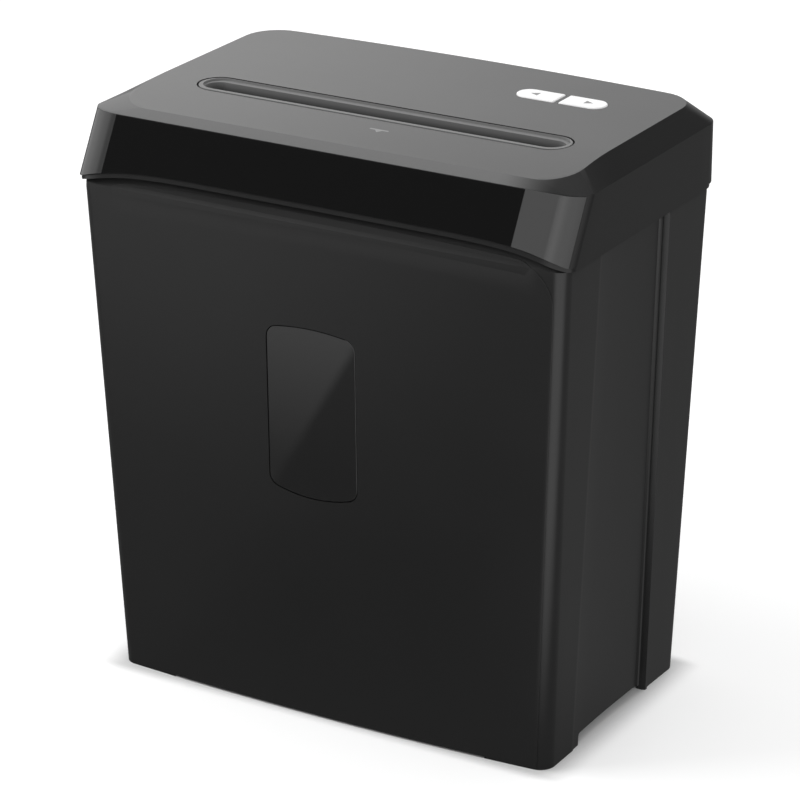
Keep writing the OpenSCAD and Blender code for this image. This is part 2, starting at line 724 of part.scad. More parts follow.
// ---- reduction train ----
post_pin_r = 2.5;
post_r1 = 3;
shoulder_r = 5;
module gear_post(at, x0, x1) {
    rod(plate_in, plate_out + eps, at, post_pin_r - run_fit / 2);
    rod(plate_out, x0 - 0.3, at, shoulder_r);
    rod(x0 - 0.4, x1 + 0.3 + clip_t + 0.3, at, post_r1);
}
module gear_posts() {
    color("silver") {
        gear_post(second_axis, drive_x, second_x + second_w);
        gear_post(first_axis, second_x, first_x + first_w);
    }
}
module post_clips() {
    color("dimgray") {
        for (q = [[second_axis, second_x + second_w], [first_axis, first_x + first_w]]) difference() {
            rod(q[1] + 0.3, q[1] + 0.3 + clip_t, q[0], shoulder_r);
            rod(q[1] - 1, q[1] + 5, q[0], post_r1 + run_fit / 2);
        }
    }
}
module compound_gear(at, small_m, small_a, sx, sw, big_n, big_m, big_a, bx, bw, hub_x) {
    color([0.9, 0.88, 0.8]) difference() {
        union() {
            gear(small_teeth, small_m, small_a, sx, sw + eps, at);
            rod(sx + sw, bx + eps, at, small_teeth * small_m / 2 - 1.3 * small_m);
            gear(big_n, big_m, big_a, bx, bw, at);
        }
        rod(sx - 1, bx + bw + 1, at, post_r1 + run_fit);
    }
}
module second_reduction_gear() {
    compound_gear(second_axis, drive_m, bearing(second_axis, rear_shaft) + 180 / small_teeth, drive_x, drive_w,
        second_teeth, second_m, bearing(second_axis, first_axis), second_x, second_w);
}
module first_reduction_gear() {
    compound_gear(first_axis, second_m, bearing(first_axis, second_axis) + 180 / small_teeth, second_x, second_w,
        first_teeth, first_m, bearing(first_axis, motor_axis), first_x, first_w);
}

// ---- motor ----
motor_shaft_r = 2.5;
pinion_bore = 1.6;
can_t = 2;
cap_boss = 5;
module motor_can() {
    color("gray") difference() {
        union() {
            rod(motor_x0, motor_x1, motor_axis, motor_r);
            rod(motor_x1 - eps, plate_out + 1, motor_axis, motor_boss_r);
        }
        rod(motor_x0 - 1, motor_x1 - can_t, motor_axis, motor_r - can_t);
        rod(motor_x0, plate_out + 2, motor_axis, motor_shaft_r + run_fit);
        for (a = motor_screws) rod(motor_x1 - can_t - 1, motor_x1 + 1, a, screw_r);
    }
}
module motor_end_cap() {
    color([0.15, 0.15, 0.15]) difference() {
        union() {
            rod(motor_x0 - 2, motor_x0, motor_axis, motor_r);
            rod(motor_x0 - eps, motor_x0 + 3, motor_axis, motor_r - can_t - seat);
            rod(motor_x0 - cap_boss, motor_x0, motor_axis, motor_boss_r);
        }
        rod(motor_x0 - 10, motor_x0 + 10, motor_axis, motor_shaft_r + run_fit);
    }
}
module motor_armature() {
    color("peru") difference() {
        rod(motor_x0 + 7, motor_x1 - 7, motor_axis, motor_r - can_t - 2.5);
        rod(motor_x0, motor_x1, motor_axis, motor_shaft_r + run_fit / 2);
    }
}
module motor_shaft() {
    color("silver") {
        rod(motor_x0 - cap_boss - 2, plate_out + 3, motor_axis, motor_shaft_r);
        rod(plate_out + 3 - eps, first_x + first_w + 0.5, motor_axis, pinion_bore);
    }
}
module motor_pinion() {
    color("goldenrod") difference() {
        gear(pinion_teeth, first_m, bearing(motor_axis, first_axis) + 180 / pinion_teeth, first_x, first_w, motor_axis);
        rod(first_x - 1, first_x + first_w + 1, motor_axis, pinion_bore + run_fit / 2);
    }
}

// ---- interlock and cord entry ----
plunger_r = 2;
plunger_top = 335;
plunger_travel = 3;
guide_wall = 2;
switch_w = 14;
module interlock_plunger() {
    color("white") {
        bore_z(boss_x, boss_y, rim_h + 0.3, plunger_top, plunger_r);
        bore_z(boss_x, boss_y, flange_top + 5, flange_top + 6.5, plunger_r + 1.5);
    }
}
module interlock_guide() {
    color([0.25, 0.25, 0.25]) difference() {
        union() {
            for (s = [-1, 1])
                translate([boss_x + s * (switch_w + guide_wall) / 2 - guide_wall / 2, boss_y - 4.5, flange_top])
                    cube([guide_wall, 8.5, 26]);
            translate([boss_x - switch_w / 2 - eps, boss_y - 4.5, flange_top]) cube([switch_w + 2 * eps, 8.5, 4]);
        }
        bore_z(boss_x, boss_y, flange_top - 1, flange_top + 5, plunger_r + run_fit);
    }
}
module interlock_switch() {
    color([0.1, 0.1, 0.1]) translate([boss_x - switch_w / 2, boss_y - 4, plunger_top + plunger_travel + 0.3])
        cube([switch_w, 7, 8]);
}
module cord_gland() {
    wall_y = rear_end_y + rear_bow * (1 - pow(gland_x / (head_w / 2 - rear_r), 2));
    color([0.1, 0.1, 0.1]) translate([gland_x, wall_y, gland_z]) rotate([-90, 0, 0]) difference() {
        union() {
            translate([0, 0, 0.4]) cylinder(r = gland_r + 2, h = rear_y - wall_y - 0.5);
            translate([0, 0, -wall - 3]) cylinder(r = gland_r - seat, h = wall + 4);
            translate([0, 0, -wall - 3]) cylinder(r = gland_r + 1.5, h = 2.3);
        }
        translate([0, 0, -10]) cylinder(r = 3, h = 20);
    }
}

bin_shell();
bin_window();
window_seal();
head_cover();
front_fascia();
head_base();
throat_insert();
button_bracket();
circuit_board();
board_components();
tact_switches();
terminal_block();
left_frame_plate();
right_frame_plate();
tie_rods();
plate_screws();
front_comb();
rear_comb();
shaft_bushes();
motor_can();
motor_end_cap();
gear_posts();
post_clips();
feed_switch();
interlock_switch();
interlock_guide();
cord_gland();
housing_screws();
rear_cutter_shaft();
rear_cutter_discs();
drive_gear();
rear_sync_gear();
front_cutter_shaft();
front_cutter_discs();
front_sync_gear();
second_reduction_gear();
first_reduction_gear();
motor_shaft();
motor_pinion();
motor_armature();
reverse_button();
forward_button();
feed_lever();
interlock_plunger();
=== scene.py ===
import math

import bmesh
import bpy
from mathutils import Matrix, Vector


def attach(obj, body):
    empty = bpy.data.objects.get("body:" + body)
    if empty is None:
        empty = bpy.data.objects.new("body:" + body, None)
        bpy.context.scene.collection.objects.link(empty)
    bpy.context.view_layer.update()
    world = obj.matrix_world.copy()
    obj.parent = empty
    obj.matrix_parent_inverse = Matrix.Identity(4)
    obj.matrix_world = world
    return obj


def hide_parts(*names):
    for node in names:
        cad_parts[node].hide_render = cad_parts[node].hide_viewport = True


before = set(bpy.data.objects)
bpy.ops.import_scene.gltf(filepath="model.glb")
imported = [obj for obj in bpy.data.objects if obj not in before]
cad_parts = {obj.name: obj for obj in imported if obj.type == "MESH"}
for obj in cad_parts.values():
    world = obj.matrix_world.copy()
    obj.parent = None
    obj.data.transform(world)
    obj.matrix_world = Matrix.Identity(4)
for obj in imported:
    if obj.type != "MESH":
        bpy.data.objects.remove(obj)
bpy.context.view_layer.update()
print("frame loaded")

mm = 0.001
weld = 1e-6  # points closer than this are one, in metres

# Small helpers


def clearSelection():
    if bpy.context.object and bpy.context.object.mode == "EDIT":
        bpy.ops.object.mode_set(mode="OBJECT")
    bpy.ops.object.select_all(action="DESELECT")


def pickOnly(piece):
    clearSelection()
    piece.select_set(True)
    bpy.context.view_layer.objects.active = piece


def nameLast(name):
    piece = bpy.context.object
    piece.name = piece.data.name = name
    return piece


def applyModifier(piece, kind, **values):
    pickOnly(piece)
    step = piece.modifiers.new(kind.title(), kind)
    for key, value in values.items():
        setattr(step, key, value)
    bpy.ops.object.modifier_apply(modifier=step.name)


def roundEdges(piece, width, segments=3, angle=40):
    applyModifier(piece, "BEVEL", width=width * mm, segments=segments, limit_method="ANGLE",
                  angle_limit=math.radians(angle), harden_normals=False)


def smoothPiece(piece, angle=35):
    pickOnly(piece)
    bpy.ops.object.shade_smooth_by_angle(angle=math.radians(angle))
    applyModifier(piece, "WEIGHTED_NORMAL", keep_sharp=True, weight=100)


def cutAway(piece, *cutters):
    for cutter in cutters:
        applyModifier(piece, "BOOLEAN", operation="DIFFERENCE", solver="EXACT", object=cutter)
    for cutter in cutters:
        bpy.data.objects.remove(cutter, do_unlink=True)


def finishPiece(piece, body, material, slotName, *nodes):
    piece.data.materials.clear()
    piece.data.materials.append(material)
    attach(piece, body)
    if nodes:
        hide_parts(*nodes)
    return piece


# A ring of edges is extruded from outline to outline; the outlines are in millimetres
def loft(name, rings, closed=False):
    clearSelection()
    bpy.ops.mesh.primitive_circle_add(vertices=len(rings[0]), radius=0.1)
    piece = nameLast(name)
    bpy.ops.object.mode_set(mode="EDIT")
    net = bmesh.from_edit_mesh(piece.data)
    net.verts.ensure_lookup_table()
    place = {}
    for number, point in enumerate(rings[0]):
        net.verts[number].co = Vector(point) * mm
        place[number] = number
    for ring in rings[1:]:
        bpy.ops.mesh.extrude_edges_move(TRANSFORM_OT_translate={"value": (0, 0, 0.0001)})
        net = bmesh.from_edit_mesh(piece.data)
        net.verts.index_update()
        for vert in [v for v in net.verts if v.select]:
            below = next(e.other_vert(vert) for e in vert.link_edges if not e.other_vert(vert).select)
            place[vert.index] = place[below.index]
            vert.co = Vector(ring[place[vert.index]]) * mm
    bmesh.update_edit_mesh(piece.data)
    if not closed:  # the two ends are closed by a face each
        bpy.ops.mesh.select_all(action="DESELECT")
        bpy.ops.mesh.select_mode(type="EDGE")
        bpy.ops.mesh.select_non_manifold()
        bpy.ops.mesh.edge_face_add()
        bpy.ops.mesh.select_mode(type="VERT")
    bpy.ops.mesh.select_all(action="SELECT")
    bpy.ops.mesh.remove_doubles(threshold=weld)
    bpy.ops.mesh.normals_make_consistent(inside=False)
    bpy.ops.object.mode_set(mode="OBJECT")
    return piece


# A flat outline in X and Z or X and Y, pushed along one axis to a solid
def prism(name, outline, depth):
    clearSelection()
    bpy.ops.mesh.primitive_circle_add(vertices=len(outline), radius=0.1, fill_type="NGON")
    piece = nameLast(name)
    bpy.ops.object.mode_set(mode="EDIT")
    net = bmesh.from_edit_mesh(piece.data)
    net.verts.ensure_lookup_table()
    for number, point in enumerate(outline):
        net.verts[number].co = Vector(point) * mm
    bmesh.update_edit_mesh(piece.data)
    bpy.ops.mesh.extrude_region_move(TRANSFORM_OT_translate={"value": Vector(depth) * mm})
    bpy.ops.mesh.select_all(action="SELECT")
    bpy.ops.mesh.normals_make_consistent(inside=False)
    bpy.ops.object.mode_set(mode="OBJECT")
    return piece


def box(name, low, high):
    clearSelection()
    middle = [(a + b) / 2 * mm for a, b in zip(low, high)]
    bpy.ops.mesh.primitive_cube_add(size=1, location=middle,
                                    scale=[(b - a) * mm for a, b in zip(low, high)])
    piece = nameLast(name)
    bpy.ops.object.transform_apply(location=True, rotation=True, scale=True)
    return piece


# Outlines


def arcPoints(x, y, r, start, end, count):
    return [(x + r * math.cos(math.radians(start + (end - start) * k / count)),
             y + r * math.sin(math.radians(start + (end - start) * k / count)))
            for k in range(count + 1)]


cornerSteps, frontSteps, rearSteps = 8, 36, 18
plainSide = [(k / 12, 0) for k in range(1, 12)]  # share of the way back, and how far the side is set in


# Plan of a rounded box whose front and rear may bow, from the front left corner round to the left side
def planOutline(w, front, rear, frontR, rearR, frontBow=0, rearBow=0, side=plainSide, frontDepth=None):
    depth = frontDepth or frontR

    def frontCorner(x, start, end):  # a corner may be shallower than it is wide
        return [(px, front + py * depth / frontR)
                for px, py in arcPoints(x, frontR, frontR, start, end, cornerSteps)]

    def bowed(x0, x1, y, bow, count):
        return [(x, y + bow * (1 - (x / x0) ** 2))
                for x in (x0 + (x1 - x0) * k / count for k in range(1, count))]

    sideFront, sideRear = front + depth, rear - rearR
    right = [(w - inset, sideFront + (sideRear - sideFront) * share) for share, inset in side]
    left = [(-x, y) for x, y in reversed(right)]
    return (frontCorner(-w + frontR, 180, 270)
            + bowed(-w + frontR, w - frontR, front, -frontBow, frontSteps)
            + frontCorner(w - frontR, 270, 360)
            + right
            + arcPoints(w - rearR, rear - rearR, rearR, 0, 90, cornerSteps)
            + bowed(w - rearR, -w + rearR, rear, rearBow, rearSteps)
            + arcPoints(-w + rearR, rear - rearR, rearR, 90, 180, cornerSteps)
            + left)


# A stadium whose points stand in the same order as those of a plan outline
def stadiumOutline(length, width, y, x=0.0, side=plainSide):
    half, r = (length - width) / 2, width / 2
    ends = 2 * cornerSteps + len(side) + 1

    def straight(x0, x1, yy, count):
        return [(x0 + (x1 - x0) * k / count, yy) for k in range(1, count)]

    rightEnd = arcPoints(half, y, r, -90, 90, ends)
    leftEnd = arcPoints(-half, y, r, 90, 270, ends)
    firstLeft = cornerSteps + len(side) + 1
    around = (leftEnd[firstLeft:] + straight(-half, half, y - r, frontSteps)
              + rightEnd + straight(half, -half, y + r, rearSteps) + leftEnd[:firstLeft])
    return [(x + px, py) for px, py in around]


def atHeight(points, height):
    return [(x, y, height(x, y) if callable(height) else height) for x, y in points]


# Head form

head = {
    "halfWidth": 161, "front": -95.5, "rear": 91.5, "rearBow": 4,
    "frontRadius": 19, "frontDepth": 10, "rearRadius": 16,
    "lip": 307, "strip": 2.7, "stripInset": 0.8, "arch": 8.3, "archHalf": 158, "archPower": 7,
    "band": 345.5, "lean": 20, "bandInside": 1.2,
    "deck": 354.5, "deckHalf": 146, "deckFront": -71.5, "deckRadius": 21, "deckRearRadius": 22,
    "deckRoll": 5, "rollStart": -20.4, "deckRings": 14, "slotInside": 4,
    "wall": 2.5, "edge": 0.7,
}


def deckHeight(y):
    if y >= head["rollStart"]:
        return head["deck"]
    share = (head["rollStart"] - y) / (head["rollStart"] - head["deckFront"])
    return head["deck"] - head["deckRoll"] * share ** 2


def archHeight(x):
    return head["lip"] + head["arch"] * max(0, 1 - abs(x / head["archHalf"]) ** head["archPower"])


def frontAt(z):  # place of the leaning front at a height
    base = head["lip"] + head["strip"]
    return head["front"] + head["lean"] * (z - base) / (head["band"] - base)


def headOutline(inset, front):
    return planOutline(head["halfWidth"] - inset, front + inset, head["rear"] - inset, head["frontRadius"],
                       head["rearRadius"], 0, head["rearBow"], plainSide, head["frontDepth"])


# Lower ring of the head: the front part rises with the arch and stays on the leaning front
def lowRing(inset, up):
    ring = []
    frontEnd = head["front"] + inset + head["frontDepth"] + 0.01
    for x, y in headOutline(inset, head["front"]):
        z = head["lip"] + up
        rise = archHeight(x) - head["lip"]
        if y < frontEnd and rise > 0:
            z += rise
            y += max(0, frontAt(z) - head["front"])
        ring.append((x, y, z))
    return ring


def between(first, last, share):
    return [tuple(a + (b - a) * share for a, b in zip(p, q)) for p, q in zip(first, last)]


throat = {
    "rimX": 2.5, "rimY": -22.9, "rimLength": 241, "rimWidth": 24.4, "rimTop": 354.35, "rimThick": 1.4,
    "rimSeat": 0.1, "groove": 1.1, "mouthLength": 237, "mouthWidth": 21.4, "mouthBack": 1.3,
    "y": -20.4, "gapLength": 222, "gapWidth": 5, "gapTop": 338, "rows": 14, "pace": 1.1, "ease": 1.7,
    "neckLength": 234, "neckWidth": 16, "neckTop": 350, "neckTaper": 6, "neckGap": 1,
    "foot": 317, "footWall": 4, "edge": 0.3,
}


def deckSurface(drop, inset, grow):
    outer = planOutline(head["deckHalf"] - inset / 2, head["deckFront"] + inset, head["rear"] - inset,
                        head["deckRadius"], head["deckRearRadius"], 0, head["rearBow"])
    inner = stadiumOutline(throat["rimLength"] + grow, throat["rimWidth"] + grow, throat["rimY"],
                           throat["rimX"])
    rings = []
    for k in range(head["deckRings"] + 1):
        share = k / head["deckRings"]
        rings.append([(x, y, deckHeight(y) - drop) for x, y in between(outer, inner, share)])
    return rings


def bandRing(inset, drop):
    return atHeight(headOutline(inset, head["front"] + head["lean"]), head["band"] - drop)


def buildHead():
    wall, strip = head["wall"], head["strip"]
    neck = stadiumOutline(throat["neckLength"] + throat["neckGap"], throat["neckWidth"] + throat["neckGap"],
                          throat["rimY"], throat["rimX"])
    rimFloor = throat["rimTop"] - throat["rimThick"] - throat["rimSeat"]
    outside = [lowRing(head["stripInset"], 0), lowRing(head["stripInset"], strip), lowRing(0, strip),
               bandRing(0, 0)]
    outside += deckSurface(0, 0, 2 * throat["groove"])
    rim = [(x, y, rimFloor) for x, y, z in outside[-1]]
    outside += [rim, atHeight(neck, rimFloor), atHeight(neck, head["deck"] - wall)]
    inside = list(reversed(deckSurface(wall, wall, head["slotInside"])))
    inside += [bandRing(wall, head["bandInside"]), lowRing(wall, strip), lowRing(wall, 0)]
    return loft("headShell", outside + inside + [outside[0]], closed=True)


buttons = {
    "x": 79.4, "y": 49.5, "length": 57, "width": 16, "gap": 2.8, "fit": 0.15, "proud": 0.8, "foot": 347.0,
    "edge": 0.9, "holeReach": 6, "markSize": 5.2, "markPlace": 17.5, "markSink": 0.1, "markThick": 0.14,
}


# Half of the capsule that the two keys share; side is -1 for the left key
def keyOutline(side, grow, gap, z):
    r = buttons["width"] / 2 + grow
    middle = buttons["length"] / 2 - buttons["width"] / 2
    inner = gap / 2 - grow
    curve = arcPoints(middle, 0, r, -90, 90, 24)
    points = [(inner, -r), *curve, (inner, r)]
    if side < 0:
        points = [(-x, y) for x, y in reversed(points)]
    return [(buttons["x"] + x, buttons["y"] + y, z) for x, y in points]


fascia = {
    "top": 344.7, "thick": 1.4, "seat": 0.12, "behind": 0.05, "recessReach": 6, "columns": 44, "rows": 3,
    "wrap": 61, "wrapSteps": 14, "turnPerSeat": 2.4, "edge": 0.25,
}


# Stations along the front and round its corners: place and outward direction
def fasciaStations(extraTurn):
    wide, deep = head["frontRadius"], head["frontDepth"]
    flat = head["halfWidth"] - wide
    stations = []
    for k in range(fascia["wrapSteps"] + 1):
        turn = math.radians((fascia["wrap"] + extraTurn) * (1 - k / fascia["wrapSteps"]))
        nx, ny = -math.sin(turn) / wide, -math.cos(turn) / deep
        size = math.hypot(nx, ny)
        stations.append((-flat - wide * math.sin(turn), head["front"] + deep * (1 - math.cos(turn)),
                         nx / size, ny / size))
    stations += [(-flat + 2 * flat * k / fascia["columns"], head["front"], 0.0, -1.0)
                 for k in range(1, fascia["columns"])]
    return stations + [(-x, y, -nx, ny) for x, y, nx, ny in reversed(stations[:fascia["wrapSteps"] + 1])]


# One closed ring round the strip's cross-section at each station, from end to end
def fasciaSolid(name, grow, outer, inner):
    rings = []
    for x, y, nx, ny in fasciaStations(grow * fascia["turnPerSeat"]):
        low, high = archHeight(x) + head["strip"] - grow, fascia["top"] + grow
        levels = [low + (high - low) * k / fascia["rows"] for k in range(fascia["rows"] + 1)]
        skin = [(x + nx * outer, y + frontAt(z) - head["front"] + ny * outer, z) for z in levels]
        back = [(x - nx * inner, y + frontAt(z) - head["front"] - ny * inner, z) for z in reversed(levels)]
        rings.append(skin + back)
    return loft(name, rings)


# Bin form

basket = {
    "footHalf": 145.5, "topHalf": 157.5, "frontFoot": -81.5, "frontTop": -92,
    "rearFoot": 83.5, "rearTop": 87.5, "rearBow": 4, "bowFoot": 5, "bowTop": 1,
    "radiusFoot": 9.5, "radiusTop": 8.5, "rows": 24, "edge": 0.6,
    "top": 303, "rim": 318, "rimHalf": 153.5, "rimFront": -85, "rimRear": 86, "rimRadius": 8.5,
    "rimInside": (308, 0.33), "topInside": 301, "middleInside": 160, "wall": 2.5, "floor": 10, "under": 7.5,
    "footCutHalf": 170, "footCutFront": -42, "footCutRear": 41, "footCut": 7.5, "footCutEdge": 1.5,
    "grooveFrom": 10, "grooveTo": 40, "grooveLean": 9.3, "grooveBack": 3,
    "edgeRaise": 1, "edgeHalf": 106,
}
# how far the side is set in, going back from the front corner: hollow, ridge, groove, ridge, flat
sideShape = [(-66, 0), (-52, 0), (-49.5, 0), (-48.5, 0.5), (-34, 1.0), (-16, 1.3), (2, 1.2), (13, 0.8),
             (17.4, 0.5), (18.3, -0.5), (20.2, -0.5), (21.4, 2.6), (25, 2.9), (28.4, 2.6), (29.6, -0.5),
             (31.6, -0.5), (32.6, 0.5), (47, 0.5), (56, 0.4)]
# how far the upper edge has drawn in towards the rim, by height
rimShape = [(303, 0), (306.5, 0.02), (309, 0.3), (318, 1)]


def rimShare(z):
    for (z0, s0), (z1, s1) in zip(rimShape, rimShape[1:]):
        if z <= z1:
            return s0 + (s1 - s0) * max(0.0, z - z0) / (z1 - z0)
    return 1.0


def tapered(foot, top, share):
    return basket[foot] + (basket[top] - basket[foot]) * share


# Places on the side keep their order and stay behind the front corner; the groove leans by itself
def binSide(front, rear, r, amount=1.0, lean=0.0):
    first, last = front + r, rear - r
    side = []
    for k, (y, inset) in enumerate(sideShape):
        place = max(y, first + 1 + k * 0.5)
        if basket["grooveFrom"] < y < basket["grooveTo"]:
            place += lean
        side.append(((place - first) / (last - first), inset * amount))
    return side


def binRing(z, inset=0.0, amount=1.0):
    share = z / basket["top"]
    front = tapered("frontFoot", "frontTop", share) + inset
    rear = tapered("rearFoot", "rearTop", share) - inset
    r = tapered("radiusFoot", "radiusTop", share)
    side = binSide(front, rear, r, amount, basket["grooveBack"] + basket["grooveLean"] * (1 - share))
    return atHeight(planOutline(tapered("footHalf", "topHalf", share) - inset, front, rear, r, r,
                                tapered("bowFoot", "bowTop", share), basket["rearBow"], side), z)


def rimRing(z, inset, share):
    top = binRing(basket["top"], inset, 1 - share)
    front, rear, r = basket["rimFront"] + inset, basket["rimRear"] - inset, basket["rimRadius"]
    rim = planOutline(basket["rimHalf"] - inset, front, rear, r, r, 0, basket["rearBow"],
                      binSide(front, rear, r, 0))
    return [(x0 + (x1 - x0) * share, y0 + (y1 - y0) * share, z)
            for (x0, y0, _), (x1, y1) in zip(top, rim)]


def buildBin():
    wall = basket["wall"]
    rimInside, share = basket["rimInside"]
    rings = [binRing(basket["under"], 2 * wall, 0), binRing(0, 2 * wall, 0), binRing(0)]
    rings += [binRing(basket["top"] * k / basket["rows"]) for k in range(1, basket["rows"] + 1)]
    rings += [rimRing(z, 0, drawn) for z, drawn in rimShape[1:]]
    rings += [rimRing(basket["rim"], wall, 1), rimRing(rimInside, wall, share)]
    rings += [binRing(basket[level], wall) for level in ("topInside", "middleInside", "floor")]
    return loft("binShell", rings)


def faceAt(x, z):  # front face of the bin
    share = min(1.0, z / basket["top"])
    r = tapered("radiusFoot", "radiusTop", share)
    flat = tapered("footHalf", "topHalf", share) - r
    over = max(0.0, abs(x) - flat)
    back = rimShare(z) * (basket["rimFront"] - basket["frontTop"])
    bow = tapered("bowFoot", "bowTop", share) * max(0.0, 1 - (x / flat) ** 2)
    return tapered("frontFoot", "frontTop", share) + back - bow + r - math.sqrt(r * r - over * over)


panel = {"proud": 0.45, "thick": 1.8, "foot": 1.2, "topMiddle": 312, "fall": 3, "cornerRadius": 26,
         "sideMargin": 6.5, "columns": 56, "rows": 34, "edge": 0.5}


def panelHalf(z):
    return tapered("footHalf", "topHalf", z / basket["top"]) - panel["sideMargin"]


def panelTop(x):
    half, r = panelHalf(basket["top"]), panel["cornerRadius"]
    top = panel["topMiddle"] - panel["fall"] * (x / half) ** 2
    over = max(0, abs(x) - (half - r))
    return top - (r - math.sqrt(max(0, r * r - over * over)))


def buildPanel():
    clearSelection()
    bpy.ops.mesh.primitive_grid_add(x_subdivisions=panel["columns"], y_subdivisions=panel["rows"], size=2)
    piece = nameLast("frontPanel")
    bpy.ops.object.mode_set(mode="EDIT")
    net = bmesh.from_edit_mesh(piece.data)
    for vert in net.verts:
        across, up = math.sin(vert.co.x * math.pi / 2), (vert.co.y + 1) / 2
        topX = across * panelHalf(basket["top"])
        z = panel["foot"] + (panelTop(topX) - panel["foot"]) * up
        x = across * panelHalf(z)
        y = faceAt(x, z) - panel["proud"]
        vert.co = Vector((x, y, z)) * mm
    bmesh.update_edit_mesh(piece.data)
    bpy.ops.mesh.select_all(action="SELECT")
    bpy.ops.mesh.normals_make_consistent(inside=False)
    bpy.ops.object.mode_set(mode="OBJECT")
    # the sheet faces the front, and its thickness goes inwards
    if sum(face.normal.y for face in piece.data.polygons) > 0:
        pickOnly(piece)
        bpy.ops.object.mode_set(mode="EDIT")
        bpy.ops.mesh.select_all(action="SELECT")
        bpy.ops.mesh.flip_normals()
        bpy.ops.object.mode_set(mode="OBJECT")
    applyModifier(piece, "SOLIDIFY", thickness=panel["thick"] * mm, offset=-1)
    roundEdges(piece, panel["edge"], 3, 50)
    return piece


window = {
    "x": -3.5, "z": 196, "width": 59, "low": -50.7, "high": 46, "topArch": 3, "lowArch": 5.3, "radius": 8,
    "archSteps": 12, "cornerSteps": 10, "fit": 0.35, "sunk": 0.25, "depth": 5.5, "edge": 0.5, "holeReach": 8,
}


def windowOutline(grow, y):
    half, r = window["width"] / 2 + grow, window["radius"] + grow

    def halfEdge(level, bow):  # the arched lower edge, from the middle to the upright side
        bend = bow / half ** 2
        turn = 0.0
        for _ in range(4):  # the place where the arch runs into the corner
            meet = half - r * (1 - math.sin(turn))
            turn = math.atan(2 * bend * meet)
        steps = window["archSteps"]
        points = [(meet * k / steps, level - bow + bend * (meet * k / steps) ** 2) for k in range(steps + 1)]
        x, z = points[-1]
        return points + arcPoints(x - r * math.sin(turn), z + r * math.cos(turn), r,
                                  -90 + math.degrees(turn), 0, window["cornerSteps"])[1:]

    lower = halfEdge(window["low"] - grow, window["lowArch"])
    upper = [(x, -z) for x, z in halfEdge(-window["high"] - grow, window["topArch"])]
    points = [(-x, z) for x, z in reversed(lower[1:])] + lower
    points += upper[::-1] + [(-x, z) for x, z in upper[1:]]
    return [(window["x"] + x, y, window["z"] + z) for x, z in points]


# Places a piece made upright at y = 0 on the leaning front face
def leanOnFront(piece):
    slope = math.atan2(faceAt(0, basket["top"]) - faceAt(0, 0), basket["top"])
    pickOnly(piece)
    bpy.ops.object.mode_set(mode="EDIT")
    bpy.ops.mesh.select_all(action="SELECT")
    bpy.ops.transform.rotate(value=slope, orient_axis="X", center_override=(0, 0, window["z"] * mm))
    bpy.ops.transform.translate(value=(0, (faceAt(0, window["z"]) - panel["proud"]) * mm, 0))
    bpy.ops.object.mode_set(mode="OBJECT")


print("forms ready")

# Materials


def nodeGroup(name, inputs, outputs):
    group = bpy.data.node_groups.new(name, "ShaderNodeTree")
    for title, kind, value in inputs:
        made = group.interface.new_socket(name=title, in_out="INPUT", socket_type=kind)
        made.default_value = value
    for title, kind in outputs:
        group.interface.new_socket(name=title, in_out="OUTPUT", socket_type=kind)
    return group, group.nodes.new("NodeGroupInput"), group.nodes.new("NodeGroupOutput")


def addNode(tree, kind, **values):
    made = tree.nodes.new(kind)
    for key, value in values.items():
        if key in made.inputs:
            made.inputs[key].default_value = value
        else:
            setattr(made, key, value)
    return made


# Each term is a number, a vector or the socket that gives it
def feed(tree, made, *terms):
    for place, term in enumerate(terms):
        if isinstance(term, bpy.types.NodeSocket):
            tree.links.new(term, made.inputs[place])
        else:
            made.inputs[place].default_value = term
    return made.outputs[0]


def calculate(tree, operation, *terms, **values):
    return feed(tree, addNode(tree, "ShaderNodeMath", operation=operation, **values), *terms)


def calculateVector(tree, operation, *terms):
    return feed(tree, addNode(tree, "ShaderNodeVectorMath", operation=operation), *terms)


def mapRange(tree, source, fromMin, fromMax, toMin=0.0, toMax=1.0, **values):
    made = addNode(tree, "ShaderNodeMapRange", **values)
    for key, value in (("From Min", fromMin), ("From Max", fromMax), ("To Min", toMin), ("To Max", toMax)):
        made.inputs[key].default_value = value
    tree.links.new(source, made.inputs["Value"])
    return made.outputs[0]


def addNoise(tree, where, **values):
    made = addNode(tree, "ShaderNodeTexNoise", **values)
    tree.links.new(where, made.inputs["Vector"])
    return made


def scaleColour(tree, colour, amount):
    made = addNode(tree, "ShaderNodeVectorMath", operation="SCALE")
    tree.links.new(colour, made.inputs[0])
    tree.links.new(amount, made.inputs["Scale"])
    return made.outputs[0]


def mixColours(tree, share, first, second):
    made = addNode(tree, "ShaderNodeMix", data_type="RGBA")
    tree.links.new(share, made.inputs["Factor"])
    tree.links.new(first, made.inputs["A"])
    made.inputs["B"].default_value = second
    return made.outputs["Result"]


def splitAxes(tree, kind="Object"):
    where = tree.nodes.new("ShaderNodeTexCoord")
    split = tree.nodes.new("ShaderNodeSeparateXYZ")
    tree.links.new(where.outputs[kind], split.inputs[0])
    return split.outputs


